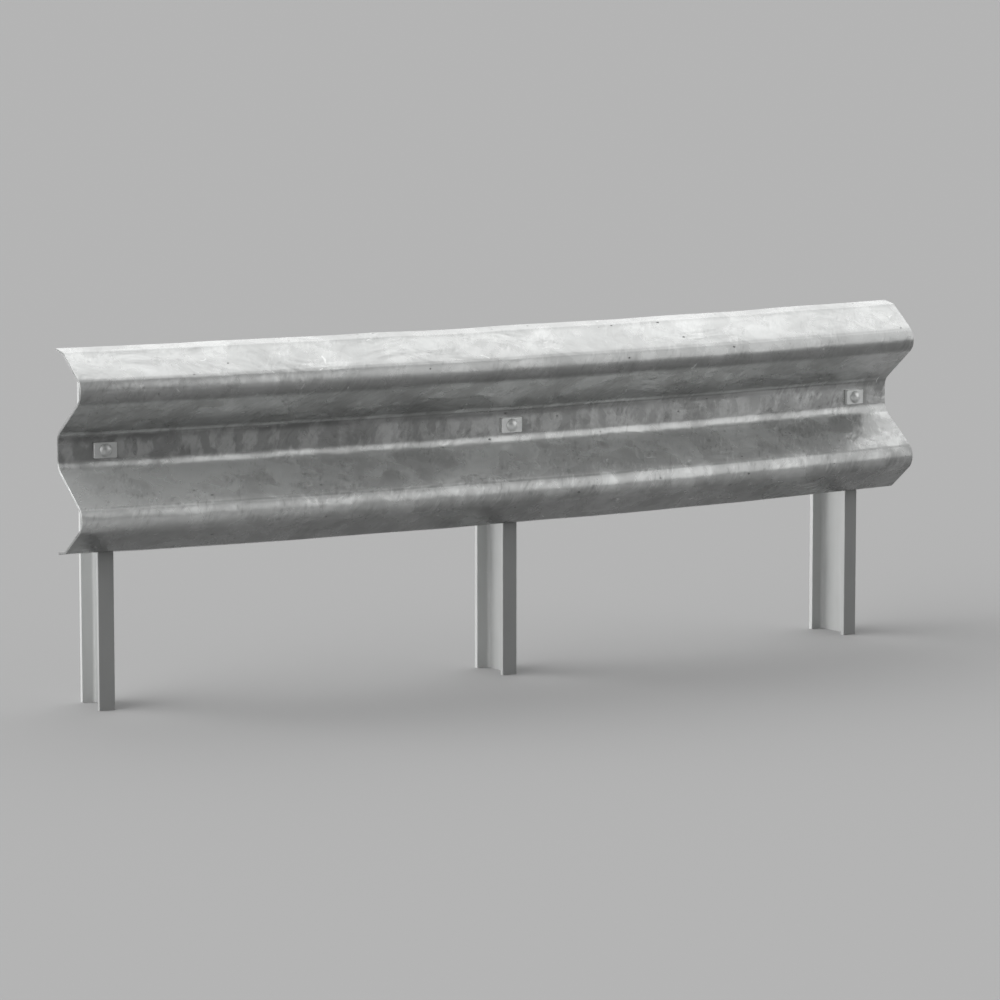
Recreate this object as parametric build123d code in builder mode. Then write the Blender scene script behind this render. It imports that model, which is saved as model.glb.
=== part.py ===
from build123d import *
import os
from math import asin, cos, degrees, sin, sqrt

os.makedirs("parts", exist_ok=True)

# Guardrail section: one W-beam rail, bowed gently in plan, bolted to three channel posts.
# +X runs along the rail, -Y faces the road, +Z is up. The origin is on the foot of the
# middle post, under its bolt, at the middle of its front flange's thickness.

# Rail. The profile is that of the sheet's back face, given by the corners that its straight
# stretches would meet in, and by the radius that rounds each corner.
plan_radius = 5500        # of the valley's back seen from above, bulging towards the road
rail_span = 1500          # straight distance between the two cut ends, which are parallel
rail_height = 310         # from the top lip's tip to the bottom lip's tip
ground_clearance = 238    # under the bottom lip
sheet = 4
crest_pitch = 190         # between the two crests
crest_reach = 92          # from the valley to a crest's corner
crest_radius = 21
valley_width = 51.5       # between the valley's two corners
valley_radius = 24
lip_reach = 23.5          # from a lip's tip to its corner, towards the road
lip_fall = 4.4            # of that corner below the tip, or above it on the bottom lip
lip_radius = 5

# Fastening: round-head bolt, plate washer in the valley, hexagon nut behind the flange
plate_length = 36
plate_height = 24
plate_thick = 5
plate_corner = 2
plate_edge = 0.8
bolt_size = 8
bolt_clearance = 0.5      # on the radius, in the plate, the rail's slot and the flange
slot_length = 26
head_size = 20
head_height = 6
head_rim = 1.2
nut_width = 13
nut_height = 6.5
nut_bevel = 1
nut_face = 0.4            # height of the round face that the nut bears on
nut_face_inset = 1        # of that face from the nut's flats
thread_gap = 0.1          # on the radius, between the bolt and its nut
thread_end = 5            # stands out behind the nut
end_bevel = 1
seat_gap = 0.15           # between pieces that the bolt clamps

# Posts: channels open towards -X, with the web on their +X side
rail_overhang = 70        # from a bolt line at the side to the rail's end
top_gap = 43              # from a post's top up to the level of the rail's top
post_depth = 86
flange = 8
web = 3.5
root_radius = 5
toe_radius = 1
toe_gap = 4.5             # from the flange's free edge to the nut
web_gap = 3.5             # from the nut to the web
post_gap = 0.3            # between the rail's back and the post

# Sizes that follow
rail_centre = ground_clearance + rail_height / 2
post_height = ground_clearance + rail_height - top_gap
post_width = toe_gap + nut_width + web_gap + web
post_pitch = rail_span / 2 - rail_overhang
hole_radius = bolt_size / 2 + bolt_clearance
bolt_lines = {"left": -post_pitch, "middle": 0, "right": post_pitch}

# Where the clamped pieces start, measured towards the road from the valley's back
valley_y = -flange / 2 - post_gap
plate_seat = sheet + seat_gap
head_seat = plate_seat + plate_thick + seat_gap
nut_seat = -post_gap - flange - seat_gap
shank = head_seat - nut_seat + nut_height + thread_end


def road(along):
    """Direction square to the rail, towards the road, at an arc length along it."""
    return Vector(sin(along / plan_radius), -cos(along / plan_radius), 0)


def tangent(along):
    """Direction along the rail, towards +X."""
    return Vector(cos(along / plan_radius), sin(along / plan_radius), 0)


def station(along, out, height):
    """Point at an arc length along the rail, so far out from the valley's back face."""
    centre = Vector(0, valley_y + plan_radius, height)
    return centre + road(along) * (plan_radius + out)


def face_plane(along, out):
    """Upright plane that faces the road at bolt height, its x along the rail."""
    return Plane(station(along, out, rail_centre), x_dir=tangent(along), z_dir=road(along))


def cross_plane(along, out):
    """Upright plane across the rail at bolt height, its x towards the road, its y up."""
    return Plane(station(along, out, rail_centre), x_dir=road(along), z_dir=-tangent(along))


# W-beam rail: one bent line, thickened to the road side and turned about the bow's centre
lip_slant = sqrt(lip_reach**2 + lip_fall**2)
tip_height = rail_height / 2 - sheet * lip_reach / lip_slant
upper_half = [
    (0, tip_height),
    (lip_reach, tip_height - lip_fall),
    (crest_reach, crest_pitch / 2),
    (0, valley_width / 2),
]
lower_half = [(out, -height) for out, height in reversed(upper_half)]
half_radii = [lip_radius, crest_radius, valley_radius]
half_bow = asin(rail_span / 2 / plan_radius)
past_end = 0.01           # further turn in radians, which the square cuts take off again

with BuildPart() as rail:
    start = -plan_radius * (half_bow + past_end)
    with BuildSketch(cross_plane(start, 0)):
        with BuildLine():
            back = FilletPolyline(*upper_half, *lower_half, radius=half_radii + half_radii[::-1])
            offset(back, amount=sheet, side=Side.LEFT)
        make_face()
    bow_axis = Axis((0, valley_y + plan_radius, 0), (0, 0, 1))
    revolve(axis=bow_axis, revolution_arc=degrees(2 * (half_bow + past_end)))
    split(bisect_by=Plane((rail_span / 2, 0, 0), z_dir=(1, 0, 0)), keep=Keep.BOTTOM)
    split(bisect_by=Plane((-rail_span / 2, 0, 0), z_dir=(1, 0, 0)), keep=Keep.TOP)
    for along in bolt_lines.values():
        with BuildSketch(face_plane(along, -sheet)):
            SlotOverall(slot_length, 2 * hole_radius)
        extrude(amount=3 * sheet, mode=Mode.SUBTRACT)
rail.part.label = "rail"
export_step(rail.part, "parts/rail.step")

for side, along in bolt_lines.items():
    outward = Axis(station(along, 0, rail_centre), road(along))

    # Channel post: its front flange lies behind the valley, square to the rail
    toe_x = -toe_gap - nut_width / 2
    web_x = toe_x + post_width - web
    near = 0.1
    foot_plane = Plane(station(along, -post_gap, 0), x_dir=tangent(along), z_dir=(0, 0, 1))
    with BuildPart() as post:
        with BuildSketch(foot_plane) as channel:
            with Locations((toe_x, post_depth / 2)):
                from_toe = (Align.MIN, Align.CENTER)
                Rectangle(post_width, post_depth, align=from_toe)
                inner_depth = post_depth - 2 * flange
                Rectangle(post_width - web, inner_depth, align=from_toe, mode=Mode.SUBTRACT)
            roots = channel.vertices().filter_by_position(Axis.X, web_x - near, web_x + near)
            fillet(roots, root_radius)
            toes = channel.vertices().filter_by_position(Axis.X, toe_x - near, toe_x + near)
            fillet(toes, toe_radius)
        extrude(amount=post_height)
        with BuildSketch(face_plane(along, -post_gap)):
            Circle(hole_radius)
        extrude(amount=-2 * flange, mode=Mode.SUBTRACT)
    post.part.label = side + "_post"
    export_step(post.part, "parts/" + post.part.label + ".step")

    # Plate washer: lies in the valley and covers the rail's slot
    with BuildPart() as plate:
        with BuildSketch(face_plane(along, plate_seat)):
            RectangleRounded(plate_length, plate_height, plate_corner)
            Circle(hole_radius, mode=Mode.SUBTRACT)
        extrude(amount=plate_thick)
        front = plate.faces().sort_by(outward)[-1]
        chamfer(front.outer_wire().edges(), plate_edge)
    plate.part.label = side + "_plate_washer"
    export_step(plate.part, "parts/" + plate.part.label + ".step")

    # Bolt: low round head on the plate, shank through the rail and the flange
    with BuildPart() as bolt:
        with BuildSketch(cross_plane(along, head_seat)):
            with BuildLine():
                dome = TangentArc((head_height, 0), (head_rim, head_size / 2), tangent=(0, 1))
                Polyline(
                    dome @ 1,
                    (0, head_size / 2),
                    (0, bolt_size / 2),
                    (end_bevel - shank, bolt_size / 2),
                    (-shank, bolt_size / 2 - end_bevel),
                    (-shank, 0),
                    dome @ 0,
                )
            make_face()
        revolve(axis=outward)
    bolt.part.label = side + "_bolt"
    export_step(bolt.part, "parts/" + bolt.part.label + ".step")

    # Nut: flats beside the web, corners bevelled behind, a round face to bear on in front
    with BuildPart() as nut:
        with BuildSketch(face_plane(along, nut_seat)):
            RegularPolygon(nut_width / 2, 6, major_radius=False, rotation=30)
            Circle(bolt_size / 2 + thread_gap, mode=Mode.SUBTRACT)
        extrude(amount=-nut_height)
        with BuildSketch(cross_plane(along, nut_seat)):
            with BuildLine():
                Polyline(
                    (0, 0),
                    (0, nut_width / 2 - nut_face_inset),
                    (-nut_face, nut_width / 2 - nut_face_inset),
                    (-nut_face, nut_width),
                    (-nut_height + nut_bevel / 2, nut_width / sqrt(3)),
                    (-nut_height, nut_width / sqrt(3) - nut_bevel),
                    (-nut_height, 0),
                    close=True,
                )
            make_face()
        revolve(axis=outward, mode=Mode.INTERSECT)
    nut.part.label = side + "_nut"
    export_step(nut.part, "parts/" + nut.part.label + ".step")
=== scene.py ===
import math

import bpy
import numpy as np
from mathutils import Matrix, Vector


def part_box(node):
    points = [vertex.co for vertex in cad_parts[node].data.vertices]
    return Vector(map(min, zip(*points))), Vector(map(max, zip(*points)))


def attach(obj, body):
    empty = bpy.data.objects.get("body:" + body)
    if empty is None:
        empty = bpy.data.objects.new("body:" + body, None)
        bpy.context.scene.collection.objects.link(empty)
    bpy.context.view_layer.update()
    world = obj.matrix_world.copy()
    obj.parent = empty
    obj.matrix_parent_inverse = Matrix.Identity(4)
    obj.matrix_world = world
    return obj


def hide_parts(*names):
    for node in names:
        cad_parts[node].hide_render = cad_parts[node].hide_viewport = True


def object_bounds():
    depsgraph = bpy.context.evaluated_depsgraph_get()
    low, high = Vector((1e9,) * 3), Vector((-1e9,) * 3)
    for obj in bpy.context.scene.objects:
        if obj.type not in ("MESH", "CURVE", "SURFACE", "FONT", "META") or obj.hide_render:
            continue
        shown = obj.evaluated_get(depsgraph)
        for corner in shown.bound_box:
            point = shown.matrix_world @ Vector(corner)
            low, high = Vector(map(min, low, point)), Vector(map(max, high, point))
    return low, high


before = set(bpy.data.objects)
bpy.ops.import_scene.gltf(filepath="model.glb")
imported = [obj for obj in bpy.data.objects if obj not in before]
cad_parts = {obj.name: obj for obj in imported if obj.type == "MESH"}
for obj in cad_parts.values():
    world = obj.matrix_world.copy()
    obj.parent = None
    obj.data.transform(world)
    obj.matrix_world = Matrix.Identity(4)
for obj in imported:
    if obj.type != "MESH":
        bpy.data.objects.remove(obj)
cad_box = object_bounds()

# Lengths are in metres. +X runs along the rail, -Y faces the road, +Z is up.

# ---------------------------------------------------------------------------------------
# Meshes
# ---------------------------------------------------------------------------------------


def mesh_object(name, points, faces, smooth_under=35):
    """Object at the origin from an array of points and arrays of faces, each of one kind.

    Edges that turn by less than smooth_under degrees are shaded smooth, the rest stay sharp.
    """
    corners = np.concatenate([kind.ravel() for kind in faces]).astype(np.int32)
    sizes = np.concatenate([np.full(len(kind), kind.shape[1]) for kind in faces])
    starts = np.concatenate([[0], np.cumsum(sizes)[:-1]]).astype(np.int32)
    mesh = bpy.data.meshes.new(name)
    mesh.vertices.add(len(points))
    mesh.vertices.foreach_set("co", np.asarray(points, dtype=np.float32).ravel())
    mesh.loops.add(len(corners))
    mesh.loops.foreach_set("vertex_index", corners)
    mesh.polygons.add(len(sizes))
    mesh.polygons.foreach_set("loop_start", starts)
    mesh.polygons.foreach_set("use_smooth", np.ones(len(sizes), dtype=bool))
    mesh.update(calc_edges=True)
    mesh.set_sharp_from_angle(angle=math.radians(smooth_under))
    made = bpy.data.objects.new(name, mesh)
    bpy.context.collection.objects.link(made)
    return made


def band(first, second):
    """Quads between two closed loops of vertex numbers, as many in each."""
    return np.stack([first, np.roll(first, -1), np.roll(second, -1), second], axis=1)


def perimeter(numbers):
    """Vertex numbers round the edge of a grid, in order."""
    sides = [numbers[0, :-1], numbers[:-1, -1], numbers[-1, :0:-1], numbers[:0:-1, 0]]
    return np.concatenate(sides)


def smooth_step(value, start, end):
    """0 before start, 1 after end, and 3t^2 - 2t^3 between them."""
    t = np.clip((value - start) / (end - start), 0, 1)
    return t * t * (3 - 2 * t)


# ---------------------------------------------------------------------------------------
# The rail: one bent line, carried along the bow
# ---------------------------------------------------------------------------------------

rail_low, rail_high = (np.array(corner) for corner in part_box("rail"))
HALF_SPAN = (rail_high[0] - rail_low[0]) / 2
HALF_HEIGHT = (rail_high[2] - rail_low[2]) / 2
RAIL_CENTRE = (rail_high[2] + rail_low[2]) / 2
POST_GAP = 0.0003         # between the valley's back and a post's front flange
VALLEY_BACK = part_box("middle_post")[0][1] - POST_GAP
BOW = 5.5                 # radius of the valley's back, seen from above
OVERHANG = 0.07           # from a bolt line at the side to the rail's end
SHEET = 0.004
LIP_REACH = 0.0235
LIP_FALL = 0.0044
LIP_RADIUS = 0.005
CREST_REACH = 0.092
CREST_HEIGHT = 0.095      # of a crest's corner over the bolts
CREST_RADIUS = 0.021
VALLEY_HEIGHT = 0.02575
VALLEY_RADIUS = 0.024
SLOT_STRAIGHT = 0.0085    # half of a slot's straight part
SLOT_RADIUS = 0.0045
NEARLY_ZERO = 1e-9        # keeps the way to a slot's edge finite along its middle line
EDGE = 0.0005             # bevel round the sheet's cut edges
ARC_POINTS = 33           # at each bend of the bent line
COLUMNS = 257             # of the grid, along the rail
ROW_LENGTH = 0.006        # the grid has a row for each of these lengths across the sheet
ROW_TURN = 0.08           # and one more for each of these turns of the bent line, in radians
BLOCK_LENGTH = 0.038      # of the block of cells round a slot that rings replace
BLOCK_WIDTH = 0.020
SLOT_RINGS = (0.4, 0.75, 1.0)  # shares of the way from that block's edge to the slot's
FACES_APART = 20          # sheet thicknesses between the patterns of the two faces
BOLT_ANGLES = [side * (HALF_SPAN - OVERHANG) / BOW for side in (-1, 0, 1)]


def bent_line():
    """The sheet's back line from the top lip's tip to the bottom one's.

    Straight stretches between corners, and at each corner an arc of its radius that starts
    radius * tan(turn / 2) before it. Gives the length so far, the reach towards the road,
    the height over the bolts, and the heading.
    """
    tip = HALF_HEIGHT - SHEET * LIP_REACH / math.hypot(LIP_REACH, LIP_FALL)
    upper = [
        (0.0, tip),
        (LIP_REACH, tip - LIP_FALL),
        (CREST_REACH, CREST_HEIGHT),
        (0.0, VALLEY_HEIGHT),
    ]
    corners = np.array(upper + [(reach, -height) for reach, height in reversed(upper)])
    upper_radii = [LIP_RADIUS, CREST_RADIUS, VALLEY_RADIUS]
    steps = np.diff(corners, axis=0)
    headings = np.unwrap(np.arctan2(steps[:, 1], steps[:, 0]))
    places = [corners[:1]]
    turns = [headings[:1]]
    for number, radius in enumerate(upper_radii + upper_radii[::-1]):
        before, after = headings[number : number + 2]
        side = np.sign(after - before)
        forward = np.array([math.cos(before), math.sin(before)])
        leftward = np.array([-math.sin(before), math.cos(before)])
        start = corners[number + 1] - radius * math.tan(abs(after - before) / 2) * forward
        turn = np.linspace(before, after, ARC_POINTS)
        arc = np.stack([np.sin(turn), -np.cos(turn)], axis=1)
        places.append(start + side * radius * (leftward + arc))
        turns.append(turn)
    places = np.concatenate(places + [corners[-1:]])
    length = np.concatenate([[0], np.cumsum(np.hypot(*np.diff(places, axis=0).T))])
    return length, places[:, 0], places[:, 1], np.concatenate(turns + [headings[-1:]])


line_length, line_reach, line_height, line_heading = bent_line()
ACROSS = line_length[-1]  # the sheet's width, unrolled

# Waves in the rolled sheet
WAVE_SEED = 11
WAVES = 28
WAVE_LENGTHS = (0.06, 0.4)
WAVE_HEIGHT = 0.00006     # of a wave of the usual length; longer ones are higher
WAVE_USUAL = 0.15
WAVE_GROWTH = 0.8         # power of the length that the height grows with
WAVE_TURN = 6.283         # a wave's heading and phase are drawn from 0 to here, in radians
SWAY_MIDDLE = 0.0008      # how far behind its true line the sheet lies where the waves cancel
SWAY_NEAR = 0.024         # from a bolt: no sway up to here
SWAY_FAR = 0.08           # from a bolt: the full sway from here on


def sway(along, across):
    """How far the rolled sheet lies behind its true line: a sum of long cosine waves.

    The waves die out round the plate washers, where the bolts hold the sheet to its posts.
    """
    draw = np.random.default_rng(WAVE_SEED)
    sizes = draw.uniform(*WAVE_LENGTHS, WAVES)
    angles = draw.uniform(0, WAVE_TURN, WAVES)
    phases = draw.uniform(0, WAVE_TURN, WAVES)
    waves = np.zeros(np.shape(along))
    for size, angle, phase in zip(sizes, angles, phases):
        way = math.cos(angle) * along + math.sin(angle) * across
        crest = WAVE_HEIGHT * (size / WAVE_USUAL) ** WAVE_GROWTH
        waves += crest * np.cos(2 * math.pi * way / size + phase)
    held = np.ones(np.shape(along))
    for turn in BOLT_ANGLES:
        away = np.hypot(along - BOW * math.sin(turn), across - ACROSS / 2)
        held *= smooth_step(away, SWAY_NEAR, SWAY_FAR)
    return np.clip(SWAY_MIDDLE - waves, 0, 2 * SWAY_MIDDLE) * held


# Lines that the rollers press in beside the bends: place across the sheet, how many radians
# a metre their depth turns by, and its phase
ROLL_LINES = ((0.0835, 1.3, 0.6), (0.2070, 2.3, 0.9), (0.3454, 3.9, 1.9))
ROLL_DEPTH = 0.0003
ROLL_WIDTH = 0.002        # from a line's middle to where its depth is down to about a third


def roll_marks(along, across):
    """Depth of the rollers' lines: a bell curve across each, which fades and returns along it."""
    depth = np.zeros(np.shape(along))
    for place, slow, phase in ROLL_LINES:
        fade = 0.5 + 0.5 * np.sin(slow * along + phase)
        depth += ROLL_DEPTH * fade * np.exp(-(((across - place) / ROLL_WIDTH) ** 2))
    return depth


def sheet_point(along, across, out):
    """Point of the sheet: so far along the rail, across the bent line, and out of its back.

    The bent line stands upright, square to the bow's circle, and the cut ends are parallel.
    """
    heading = np.interp(across, line_length, line_heading)
    out = out - sway(along, across) - roll_marks(along, across)
    reach = np.interp(across, line_length, line_reach) - out * np.sin(heading)
    height = np.interp(across, line_length, line_height) + out * np.cos(heading)
    back = VALLEY_BACK + BOW - np.sqrt((BOW + reach) ** 2 - along**2)
    return np.stack([along, back, RAIL_CENTRE + height], axis=-1)


def rows_across():
    """Rows of the grid, evenly divided by length / ROW_LENGTH + turn / ROW_TURN.

    So they lie closer where the sheet bends.
    """
    turned = np.concatenate([[0], np.cumsum(np.abs(np.diff(line_heading)))])
    measure = line_length / ROW_LENGTH + turned / ROW_TURN
    rows = np.interp(np.linspace(0, measure[-1], int(measure[-1])), measure, line_length)
    return np.clip(rows, EDGE, ACROSS - EDGE)


def slot_reach(angle):
    """Distance from a slot's middle to its edge, at an angle.

    The edge is two straights and two half circles.
    """
    rise = np.abs(np.sin(angle))
    run = np.abs(np.cos(angle))
    beyond = np.maximum(SLOT_RADIUS**2 - (SLOT_STRAIGHT * rise) ** 2, 0)
    round_end = SLOT_STRAIGHT * run + np.sqrt(beyond)
    straight = SLOT_RADIUS / np.maximum(rise, NEARLY_ZERO)
    return np.where(straight * run <= SLOT_STRAIGHT, straight, round_end)


def make_rail():
    """Galvanised sheet as one closed skin: two grids, a bevelled rim round them, three slots."""
    columns = np.linspace(-HALF_SPAN + EDGE, HALF_SPAN - EDGE, COLUMNS)
    rows = rows_across()
    along, across = np.meshgrid(columns, rows, indexing="ij")
    grid = np.arange(along.size).reshape(along.shape)
    keep = np.ones(grid[1:, 1:].shape, dtype=bool)
    given = [
        np.stack([along.ravel(), across.ravel(), np.full(grid.size, out)], axis=1)
        for out in (SHEET, 0.0)
    ]
    faces = []

    def loop(along, across, out):
        """Adds a closed loop of vertices at one height over the sheet's back, and numbers them."""
        first = sum(len(part) for part in given)
        given.append(np.stack([along, across, np.full(len(along), out)], axis=1))
        return np.arange(first, first + len(along))

    # Slots: the cells round each are replaced by rings that run from their edge to the slot's
    for turn in BOLT_ANGLES:
        middle = BOW * math.sin(turn)
        block_along = [middle - BLOCK_LENGTH / 2, middle + BLOCK_LENGTH / 2]
        block_across = [(ACROSS - BLOCK_WIDTH) / 2, (ACROSS + BLOCK_WIDTH) / 2]
        left, right = np.searchsorted(columns, block_along)
        top, bottom = np.searchsorted(rows, block_across)
        keep[left:right, top:bottom] = False
        block = perimeter(grid[left : right + 1, top : bottom + 1])
        x = along.ravel()[block]
        s = across.ravel()[block]
        angle = np.arctan2(s - ACROSS / 2, x - middle)
        edges = []
        for side, out in ((0, SHEET), (1, 0.0)):
            slot_x = middle + out * math.sin(turn) + slot_reach(angle) * np.cos(angle)
            slot_s = ACROSS / 2 + slot_reach(angle) * np.sin(angle)
            rings = [block + side * grid.size]
            for share in SLOT_RINGS:
                rings.append(loop(x + share * (slot_x - x), s + share * (slot_s - s), out))
            for outer, inner in zip(rings[:-1], rings[1:]):
                faces.append(band(inner, outer) if side else band(outer, inner))
            edges.append(rings[-1])
        faces.append(band(edges[0], edges[1]))

    # The two faces of the sheet
    cells = np.stack([grid[:-1, :-1], grid[:-1, 1:], grid[1:, 1:], grid[1:, :-1]], axis=-1)[keep]
    faces += [cells, cells[:, ::-1] + grid.size]

    # The rim: out by the bevel's width, back to the other face, and in again
    border = perimeter(grid)
    x = along.ravel()[border]
    s = across.ravel()[border]
    x = x + EDGE * np.sign(x) * (np.abs(x) == columns[-1])
    s = s + EDGE * (s == rows[-1]) - EDGE * (s == rows[0])
    rim = [border, loop(x, s, SHEET - EDGE), loop(x, s, EDGE), border + grid.size]
    for nearer, farther in zip(rim[:-1], rim[1:]):
        faces.append(band(farther, nearer))

    given = np.concatenate(given)
    made = mesh_object("rail_sheet", sheet_point(*given.T), faces)
    unrolled = made.data.attributes.new("unrolled", "FLOAT_VECTOR", "POINT")
    given[:, 2] *= FACES_APART
    unrolled.data.foreach_set("vector", given.astype(np.float32).ravel())
    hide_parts("rail")
    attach(made, "root")
    return made


# ---------------------------------------------------------------------------------------
# Bolts: turned round their lines, with a cut thread
# ---------------------------------------------------------------------------------------

BOLT_RADIUS = 0.004
HEAD_RADIUS = 0.010
HEAD_RISE = 0.006
HEAD_RIM = 0.0012
HEAD_ROUND = 0.0004       # rounds the head's rim
HEAD_SEAT = 0.0093        # of the head's underside, out from the valley's back
BOLT_END = -0.01995       # of the shank's end
END_BEVEL = 0.001
THREAD_PITCH = 0.00125
THREAD_DEPTH = 0.0006
THREAD_LENGTH = 0.013
THREAD_RUN_OUT = 0.002    # over which the groove comes up to the shank
THREAD_CURVE = 0.8        # power of the groove's V: under 1 hollows out its flanks
THREAD_RINGS = 105
DOME_RINGS = 14
DOME_TOP = 0.02           # angle at the dome's last ring, in radians from the bolt's line
BOLT_SIDES = 48


def bolt_profile():
    """Distance out and radius along the bolt: end bevel, shank, underside, rim and low dome.

    The dome is an arc whose centre is on the bolt's line, so its top is round.
    """
    sag = HEAD_RISE - HEAD_RIM
    dome = (HEAD_RADIUS**2 + sag**2) / (2 * sag)
    rim_angle = math.asin(HEAD_RADIUS / dome) - HEAD_ROUND / HEAD_RADIUS
    sweep = np.linspace(rim_angle, DOME_TOP, DOME_RINGS)
    shank = np.linspace(BOLT_END + END_BEVEL, BOLT_END + THREAD_LENGTH, THREAD_RINGS)
    out = [
        [BOLT_END],
        shank,
        [HEAD_SEAT, HEAD_SEAT, HEAD_SEAT + HEAD_ROUND / 2, HEAD_SEAT + HEAD_RIM - HEAD_ROUND],
        HEAD_SEAT + HEAD_RISE - dome + dome * np.cos(sweep),
    ]
    radius = [
        [BOLT_RADIUS - END_BEVEL],
        np.full(len(shank), BOLT_RADIUS),
        [BOLT_RADIUS, HEAD_RADIUS - HEAD_ROUND / 2, HEAD_RADIUS, HEAD_RADIUS],
        dome * np.sin(sweep),
    ]
    return np.concatenate(out), np.concatenate(radius)


def make_bolt(side, turn):
    """Round-head bolt: the profile turned about its line, less a helical groove at its end.

    The groove's depth is a V with curved flanks over each full step of the thread, which is
    the fraction of (distance / pitch - angle / full turn).
    """
    out, radius = bolt_profile()
    out = out[:, None]
    radius = radius[:, None]
    angle = np.linspace(0, 2 * math.pi, BOLT_SIDES, endpoint=False)
    phase = out / THREAD_PITCH - angle / (2 * math.pi)
    groove = THREAD_DEPTH * (1 - np.abs(2 * (phase % 1) - 1)) ** THREAD_CURVE
    cut = smooth_step(BOLT_END + THREAD_LENGTH - out, 0.0, THREAD_RUN_OUT)
    radius = np.where(out > 0, radius, np.minimum(radius, BOLT_RADIUS - groove * cut))
    across = radius * np.cos(angle)
    height = radius * np.sin(angle)
    reach = np.broadcast_to(out, radius.shape)
    ends = np.array([[0, 0, BOLT_END], [0, 0, HEAD_SEAT + HEAD_RISE]])
    local = np.concatenate([np.stack([across, height, reach], axis=-1).reshape(-1, 3), ends])
    away = BOW + local[:, 2]
    points = np.stack(
        [
            away * math.sin(turn) + local[:, 0] * math.cos(turn),
            VALLEY_BACK + BOW - away * math.cos(turn) + local[:, 0] * math.sin(turn),
            RAIL_CENTRE + local[:, 1],
        ],
        axis=1,
    )
    rings = np.arange(radius.size).reshape(radius.shape)
    quads = [band(near, far) for near, far in zip(rings[:-1], rings[1:])]
    foot = np.stack([np.roll(rings[0], -1), rings[0], np.full(BOLT_SIDES, radius.size)], axis=1)
    top_end = np.full(BOLT_SIDES, radius.size + 1)
    top = np.stack([rings[-1], np.roll(rings[-1], -1), top_end], axis=1)
    made = mesh_object(side + "_bolt_turned", points, quads + [foot, top], smooth_under=50)
    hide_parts(side + "_bolt")
    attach(made, "root")
    return made


# ---------------------------------------------------------------------------------------
# Shader helpers
# ---------------------------------------------------------------------------------------


class Tree:
    """Thin layer over a node tree: makes nodes, sets their sockets and links them."""

    def __init__(self, tree):
        self.tree = tree
        tree.nodes.clear()

    def set(self, socket, value):
        """Links a socket to another, or gives it a plain value."""
        if isinstance(value, bpy.types.NodeSocket):
            self.tree.links.new(value, socket)
        else:
            socket.default_value = value

    def node(self, kind, inputs=None, **settings):
        """New node with its settings, and its inputs by name or number."""
        made = self.tree.nodes.new(kind)
        for name, value in settings.items():
            setattr(made, name, value)
        for name, value in (inputs or {}).items():
            self.set(made.inputs[name], value)
        return made

    def math(self, operation, first, second=0.0):
        return self.node("ShaderNodeMath", {0: first, 1: second}, operation=operation).outputs[0]

    def times(self, first, second):
        return self.math("MULTIPLY", first, second)

    def apart(self, value, place):
        """Distance of a value from a place, on either side of it."""
        return self.math("ABSOLUTE", self.math("SUBTRACT", value, place))

    def total(self, *parts):
        """Sum of (value, weight) pairs."""
        whole = 0.0
        for value, weight in parts:
            given = {0: value, 1: weight, 2: whole}
            whole = self.node("ShaderNodeMath", given, operation="MULTIPLY_ADD").outputs[0]
        return whole

    def ramp(self, value, start, end, low=0.0, high=1.0):
        """Smooth step of a value from low to high between start and end."""
        given = {"Value": value, "From Min": start, "From Max": end, "To Min": low, "To Max": high}
        made = self.node("ShaderNodeMapRange", given, interpolation_type="SMOOTHSTEP")
        return made.outputs["Result"]

    def between(self, value, start, full, fall, end):
        """Rises from 0 at start to 1 at full, stays there, and falls from fall to 0 at end."""
        return self.times(self.ramp(value, start, full), self.ramp(value, end, fall))

    def place(self, vector, scale=(1, 1, 1), turn=(0, 0, 0)):
        """Coordinates scaled and turned before a texture reads them."""
        given = {"Vector": vector, "Scale": scale, "Rotation": turn}
        return self.node("ShaderNodeMapping", given).outputs[0]

    def bent(self, vector, scale, reach):
        """Coordinates pushed about by noise, so that a pattern's borders wander."""
        given = {"Vector": vector, "Scale": scale, "Detail": 3}
        push = self.node("ShaderNodeTexNoise", given).outputs["Color"]
        given = {0: push, 1: (reach, reach, reach), 2: vector}
        return self.node("ShaderNodeVectorMath", given, operation="MULTIPLY_ADD").outputs[0]

    def noise(self, vector, scale, detail, rough, bend=0.0):
        """Noise of about 0 to 1: features a metre, finer layers, their weight, and distortion."""
        given = {
            "Vector": vector,
            "Scale": scale,
            "Detail": detail,
            "Roughness": rough,
            "Distortion": bend,
        }
        return self.node("ShaderNodeTexNoise", given).outputs["Fac"]

    def cells(self, vector, scale):
        """Distance to the nearest scattered point, and a random value that each cell has."""
        made = self.node("ShaderNodeTexVoronoi", {"Vector": vector, "Scale": scale})
        chance = self.node("ShaderNodeSeparateColor", {0: made.outputs["Color"]}).outputs[0]
        return made.outputs["Distance"], chance

    def mix(self, part, first, second):
        """The first colour where the part is 0, the second where it is 1."""
        made = self.node("ShaderNodeMix", data_type="RGBA")
        for number, value in ((0, part), (6, first), (7, second)):
            self.set(made.inputs[number], value)
        return made.outputs[2]

    def bump(self, height, strength, distance, under=None):
        """Normal bent by a height from 0 to 1 that stands for a distance, over another normal."""
        given = {"Height": height, "Strength": strength, "Distance": distance}
        if under is not None:
            given["Normal"] = under
        return self.node("ShaderNodeBump", given).outputs[0]

    def finish(self, colour, metallic, rough, normal):
        """The tree's shader and output."""
        given = {"Base Color": colour, "Metallic": metallic, "Roughness": rough, "Normal": normal}
        shader = self.node("ShaderNodeBsdfPrincipled", given)
        self.node("ShaderNodeOutputMaterial", {"Surface": shader.outputs[0]})


def material(name):
    """New material, and the node tree to build it in."""
    made = bpy.data.materials.new(name)
    made.use_nodes = True
    return made, Tree(made.node_tree)


def grey(value):
    """Neutral grey with the slight green cast of zinc."""
    return (value * 0.985, value, value * 0.99, 1.0)


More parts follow.
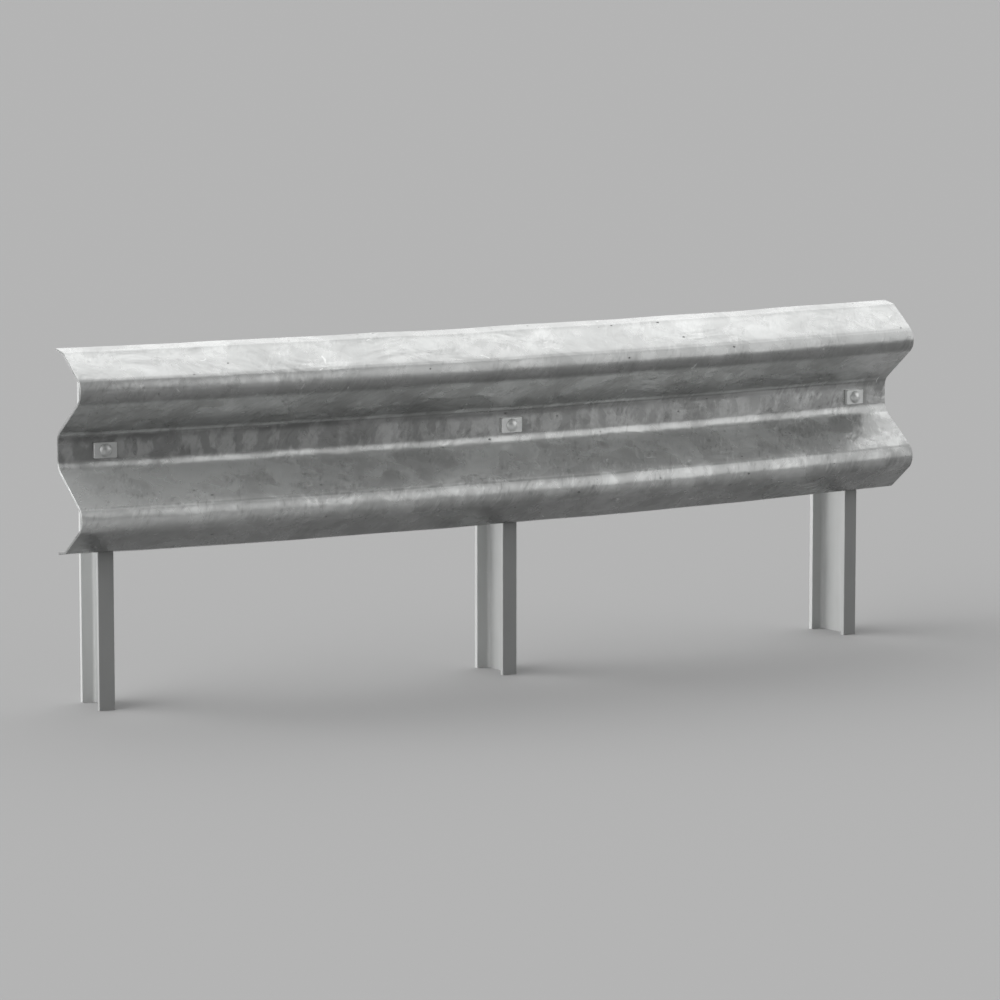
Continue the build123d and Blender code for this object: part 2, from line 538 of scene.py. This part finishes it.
RAIL_DARK = grey(0.31)
RAIL_LIGHT = grey(0.68)
RAIL_PAINTED_SHADE = grey(0.16)
RAIL_SPECK = grey(0.10)
RAIL_SCRATCH = grey(0.85)
POST_DARK = grey(0.42)
POST_LIGHT = grey(0.58)
POST_PAINTED_SHADE = grey(0.20)
POST_PAINTED_LIGHT = grey(0.70)
PLATING_DARK = grey(0.74)
PLATING_LIGHT = grey(0.96)
PLATING_DULL = grey(0.30)


# ---------------------------------------------------------------------------------------
# Materials
# ---------------------------------------------------------------------------------------

# Places across the unrolled sheet are measured from the top lip's tip. Its bends lie at 0.023
# to 0.025 (top lip), 0.082 to 0.121 (upper crest), 0.196 to 0.218 and 0.246 to 0.268 (valley),
# 0.343 to 0.382 (lower crest) and 0.439 to 0.441 (bottom lip). Places along it are measured
# from the rail's middle.


def tone_and_painted_light(t, tone, length, width, in_valley):
    """The tone's patches, evened out towards the top, and made lighter or darker by zone.

    Painted light: the upper slope lighter towards the lip, all below the valley's lower bend
    lighter, the left end there the lightest, and a painted highlight along that bend. Painted
    shade: the top lip, the valley, and the right end below the valley the darkest.
    """
    from_crest = t.ramp(width, 0.08, 0.10)
    from_bend = t.ramp(width, 0.19, 0.21)
    contrast = t.total((from_crest, 0.35), (from_bend, 0.45), (1.0, 0.55))
    lip = t.ramp(width, 0.034, 0.022)
    upper_slope = t.ramp(width, 0.08, 0.02)
    below = t.ramp(width, 0.255, 0.275)
    left_below = t.times(below, t.ramp(length, -0.3, -0.8))
    right_below = t.times(below, t.ramp(length, 0.52, 0.70))
    lower_bend = t.between(width, 0.247, 0.254, 0.266, 0.276)
    # Painted light on the upper slope, below the valley and along its lower bend; painted shade on
    # the lip, the valley and the right end below it
    painted_light_and_shade = t.total(
        (upper_slope, 0.10),
        (lip, -0.26),
        (below, 0.22),
        (left_below, 0.38),
        (right_below, -0.34),
        (lower_bend, 0.24),
        (in_valley, -0.10),
        (1.0, 0.60),
    )
    return t.total((t.math("SUBTRACT", tone, 0.5), contrast), (painted_light_and_shade, 1.0))


def painted_shade_share(t, flat, length, width, streaks, soft):
    """Share of the sheet's colour that painted shade covers.

    It lies in the valley, more towards the left end, along the valley's upper bend, in a
    band under the upper crest, and on the whole underside of the lower one.
    """
    # Painted shade: the valley, its upper bend and the undersides of the crests
    uneven = t.total((t.noise(flat, 22, 3, 0.5), 0.010), (width, 1.0), (1.0, -0.005))
    valley = t.times(t.ramp(uneven, 0.203, 0.211), t.ramp(width, 0.253, 0.244))
    valley = t.times(valley, t.ramp(length, 0.7, -0.8, 0.0, 0.75))
    valley = t.times(valley, t.total((streaks, -0.26), (1.0, 1.12)))
    upper_bend = t.between(uneven, 0.203, 0.211, 0.212, 0.224)
    upper_bend = t.times(upper_bend, t.ramp(soft, 0.1, 0.8, 0.05, 0.28))
    under_upper = t.between(uneven, 0.098, 0.106, 0.117, 0.125)
    under_lower = t.ramp(uneven, 0.366, 0.392)
    return t.total((valley, 1.0), (upper_bend, 1.0), (under_upper, 0.46), (under_lower, 0.58))


def rail_finish():
    """Hot-dip galvanised sheet: patches, runs, strokes, painted light and shade, dark specks and
    scratches.
    """
    made, t = material("rail_galvanised")
    flat = t.node("ShaderNodeAttribute", attribute_name="unrolled").outputs["Vector"]
    length, width, _ = t.node("ShaderNodeSeparateXYZ", {0: flat}).outputs
    from_valley = t.apart(width, ACROSS / 2)

    # Patches where the zinc cooled at different rates, with borders that are sharp in places
    wandering = t.bent(flat, 16, 0.045)
    clouds = t.ramp(t.noise(wandering, 15, 3, 0.5), 0.42, 0.58)
    _, shade = t.cells(t.place(wandering, (0.75, 1.1, 1)), 23)
    _, chips = t.cells(t.bent(flat, 60, 0.016), 62)
    soft = t.ramp(t.noise(flat, 5, 2, 0.5), 0.35, 0.66)
    tone = t.total((clouds, 0.24), (shade, 0.20), (chips, 0.12), (soft, 0.12))

    # Runs of zinc across the sheet, most of them in the valley, and lines drawn along it
    in_valley = t.ramp(from_valley, 0.018, 0.009, 0.12, 1.0)
    across = t.place(t.bent(flat, 30, 0.02), (1, 0.38, 1))
    streaks = t.ramp(t.noise(across, 48, 4, 0.55), 0.44, 0.58)
    runs = t.times(streaks, in_valley)
    drawn = t.noise(t.place(flat, (0.1, 1, 1)), 90, 2, 0.5)
    tone = t.total((tone, 1.0), (runs, 0.30), (drawn, 0.08))

    # Short strokes, light and dark, all leaning one way and gathered in places
    leaning = t.place(t.bent(flat, 20, 0.02), turn=(0, 0, math.radians(-30)))
    stroke = t.noise(t.place(leaning, (1, 0.3, 1)), 210, 2, 0.5)
    gathered = t.ramp(t.noise(flat, 22, 2, 0.5), 0.36, 0.60)
    light_stroke = t.times(t.ramp(stroke, 0.56, 0.66), gathered)
    dark_stroke = t.times(t.ramp(stroke, 0.44, 0.34), gathered)
    tone = t.total((tone, 1.0), (light_stroke, 0.24), (dark_stroke, -0.24))

    # Painted shade in the lines that the rollers press in
    for place, _, _ in ROLL_LINES:
        line_painted_shade = t.ramp(t.apart(width, place), 0.0026, 0.0008)
        tone = t.total((line_painted_shade, -0.3), (tone, 1.0))

    # Painted light and shade by zone over the tone's patches
    tone = tone_and_painted_light(t, tone, length, width, in_valley)
    colour = t.mix(tone, RAIL_DARK, RAIL_LIGHT)
    # Painted shade from a dark grey in the valley, along its upper bend and under the crests
    colour = t.mix(painted_shade_share(t, flat, length, width, streaks, soft), colour, RAIL_PAINTED_SHADE)

    # Dark specks a few millimetres wide
    near, chance = t.cells(t.bent(t.place(flat, (1, 1.5, 1)), 140, 0.006), 34)
    speck = t.times(t.ramp(near, 0.11, 0.05), t.ramp(chance, 0.58, 0.80))
    colour = t.mix(t.times(speck, 0.85), colour, RAIL_SPECK)

    # Light scratches: short stretches of the curves on which a noise has its middle value
    on_curve = t.ramp(t.apart(t.noise(flat, 12.5, 2, 0.4), 0.5), 0.006, 0.002)
    stretch = t.ramp(t.noise(flat, 42, 2, 0.5), 0.63, 0.70)
    scratch = t.times(t.times(on_curve, stretch), t.ramp(from_valley, 0.018, 0.026))
    colour = t.mix(t.times(scratch, 0.8), colour, RAIL_SCRATCH)

    rough = t.total(
        (clouds, -0.055), (shade, -0.025), (chips, -0.03), (runs, -0.03), (speck, 0.25), (1.0, 0.33)
    )

    ripple = t.noise(t.place(flat, (0.7, 1, 1)), 17, 3, 0.45, 0.8)
    relief = t.total((clouds, 0.4), (shade, 0.3), (runs, 0.4), (stroke, 0.15))
    grain = t.total((t.noise(flat, 500, 2, 0.5), 0.35), (speck, -1.0), (scratch, -0.6))
    normal = t.bump(ripple, strength=0.7, distance=0.004)
    normal = t.bump(relief, strength=0.45, distance=0.0008, under=normal)
    normal = t.bump(grain, strength=0.2, distance=0.0006, under=normal)
    t.finish(colour, metallic=0.62, rough=rough, normal=normal)
    return made


def post_finish():
    """Rolled steel under smooth satin zinc, duller towards the foot; painted shade in front, light
    behind.
    """
    made, t = material("post_galvanised")
    place = t.node("ShaderNodeTexCoord").outputs["Object"]
    height = t.node("ShaderNodeSeparateXYZ", {0: place}).outputs[2]
    clouds = t.noise(t.bent(place, 10, 0.04), 14, 4, 0.5)
    drawn = t.noise(t.place(place, (1, 1, 0.07)), 160, 3, 0.6)
    low = t.ramp(height, 0.26, 0.0)
    tone = t.total((clouds, 0.6), (drawn, 0.4), (low, -0.35))
    colour = t.mix(tone, POST_DARK, POST_LIGHT)

    # Painted shade darkens the face towards the road, and painted light brightens the back
    # flange. Both lie at their own distance behind the valley's back, measured square to the bow
    plan = t.node("ShaderNodeVectorMath", {0: place, 1: (1, 1, 0)}, operation="MULTIPLY").outputs[0]
    given = {0: plan, 1: (0, VALLEY_BACK + BOW, 0)}
    away = t.node("ShaderNodeVectorMath", given, operation="DISTANCE").outputs["Value"]
    behind = t.math("SUBTRACT", BOW, away)
    # Painted shade on the front flange's face
    colour = t.mix(t.ramp(behind, 0.003, 0.0006, 0.0, 0.5), colour, POST_PAINTED_SHADE)
    # Painted light on the back flange
    colour = t.mix(t.ramp(behind, 0.068, 0.080, 0.0, 0.6), colour, POST_PAINTED_LIGHT)

    rough = t.total((clouds, -0.12), (drawn, 0.08), (1.0, 0.50))
    ripple = t.noise(place, 40, 3, 0.5)
    grain = t.noise(place, 600, 2, 0.5)
    normal = t.bump(ripple, strength=0.15, distance=0.001)
    normal = t.bump(grain, strength=0.10, distance=0.0004, under=normal)
    t.finish(colour, metallic=0.3, rough=rough, normal=normal)
    return made


def zinc_finish():
    """Brighter zinc plating on the bolts, nuts and plate washers, duller towards the left end."""
    made, t = material("fastening_zinc")
    place = t.node("ShaderNodeTexCoord").outputs["Object"]
    clouds = t.noise(place, 130, 4, 0.55, 0.6)
    grain = t.noise(place, 700, 2, 0.5)
    colour = t.mix(t.total((clouds, 0.7), (grain, 0.3)), PLATING_DARK, PLATING_LIGHT)
    length = t.node("ShaderNodeSeparateXYZ", {0: place}).outputs[0]
    colour = t.mix(t.ramp(length, -0.2, -0.7, 0.0, 0.55), colour, PLATING_DULL)
    rough = t.total((clouds, -0.15), (1.0, 0.42))
    relief = t.total((clouds, 0.6), (grain, 0.4))
    normal = t.bump(relief, strength=0.2, distance=0.0006)
    t.finish(colour, metallic=0.55, rough=rough, normal=normal)
    return made


# ---------------------------------------------------------------------------------------
# Stage: pale floor, soft light, camera
# ---------------------------------------------------------------------------------------

FLOOR_HALF = 60.0
FLOOR_COLOUR = (0.31, 0.31, 0.31, 1)
BOUNCE_COLOUR = (0.05, 0.05, 0.05, 1)  # the floor's, for light that it throws on to the object


def make_floor(top):
    """Wide flat floor under the posts. Light that bounces off it onto the object is held back."""
    square = np.array([(-1, -1), (1, -1), (1, 1), (-1, 1)])
    corners = np.column_stack([FLOOR_HALF * square, np.full(4, top)])
    floor = mesh_object("floor", corners, [np.array([[0, 1, 2, 3]])])
    made, t = material("floor")
    seen = t.node("ShaderNodeBsdfDiffuse", {"Color": FLOOR_COLOUR})
    bounced = t.node("ShaderNodeBsdfDiffuse", {"Color": BOUNCE_COLOUR})
    diffuse_ray = t.node("ShaderNodeLightPath").outputs["Is Diffuse Ray"]
    given = {0: diffuse_ray, 1: seen.outputs[0], 2: bounced.outputs[0]}
    both = t.node("ShaderNodeMixShader", given)
    t.node("ShaderNodeOutputMaterial", {"Surface": both.outputs[0]})
    floor.data.materials.append(made)


# Soft lights round the object: where each stands as a direction, the cosines of the angles at
# which it begins and is full, its strength, and the share of it that polished metal mirrors
SOFT_LIGHTS = {
    "overhead": ((0.42, 0.45, 0.79), 0.66, 0.97, 1.45, 1.0),
    "front right": ((0.73, -0.59, 0.35), 0.74, 0.96, 1.38, 1.0),
    "left": ((-0.93, 0.18, 0.32), 0.50, 0.90, 4.3, 0.3),
}


def make_world():
    """Even dome of light, fading towards the floor in front, with broad soft lights on it."""
    world = bpy.data.worlds.new("studio")
    bpy.context.scene.world = world
    world.use_nodes = True
    t = Tree(world.node_tree)
    direction = t.node("ShaderNodeTexCoord").outputs["Generated"]
    _, away, up = t.node("ShaderNodeSeparateXYZ", {0: direction}).outputs
    level = t.times(t.ramp(away, -0.5, 0.3, 0.12, 0.8), t.ramp(up, -0.1, 0.5, 0.8, 1.0))
    glossy_ray = t.node("ShaderNodeLightPath").outputs["Is Glossy Ray"]
    for towards, begins, full, strength, mirrored in SOFT_LIGHTS.values():
        near = t.node("ShaderNodeVectorMath", {0: direction, 1: towards}, operation="DOT_PRODUCT")
        seen = t.total((glossy_ray, strength * (mirrored - 1)), (1.0, strength))
        level = t.total((t.ramp(near.outputs["Value"], begins, full), seen), (level, 1.0))
    light = t.node("ShaderNodeBackground", {"Strength": level})
    t.node("ShaderNodeOutputWorld", {"Surface": light.outputs[0]})


SENSOR_WIDTH = 36.0       # in millimetres, as is the lens
LENS_LENGTH = 170.1
FARTHEST_SEEN = 500.0
CAMERA_PLACE = (-3.7784, -6.2114, 1.2551)
CAMERA_DOWN = 7.682       # degrees below level
CAMERA_RIGHT = 31.217     # degrees to the right of square on to the rail


def make_camera():
    """Long lens at the viewing angle: a third of a right angle to the left, a little above."""
    lens = bpy.data.cameras.new("camera")
    lens.sensor_width = SENSOR_WIDTH
    lens.lens = LENS_LENGTH
    lens.clip_end = FARTHEST_SEEN
    camera = bpy.data.objects.new("camera", lens)
    camera.location = CAMERA_PLACE
    camera.rotation_euler = (math.radians(90 - CAMERA_DOWN), 0, math.radians(-CAMERA_RIGHT))
    bpy.context.collection.objects.link(camera)
    bpy.context.scene.camera = camera


# ---------------------------------------------------------------------------------------
# Scene
# ---------------------------------------------------------------------------------------

finishes = {"rail": rail_finish(), "post": post_finish(), "zinc": zinc_finish()}
for name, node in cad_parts.items():
    kind = "rail" if name == "rail" else "post" if name.endswith("_post") else "zinc"
    node.data.materials.clear()
    node.data.materials.append(finishes[kind])
make_rail().data.materials.append(finishes["rail"])
for side, turn in zip(("left", "middle", "right"), BOLT_ANGLES):
    make_bolt(side, turn).data.materials.append(finishes["zinc"])

make_floor(cad_box[0][2])
make_world()
make_camera()
bpy.context.scene.view_settings.view_transform = "Standard"
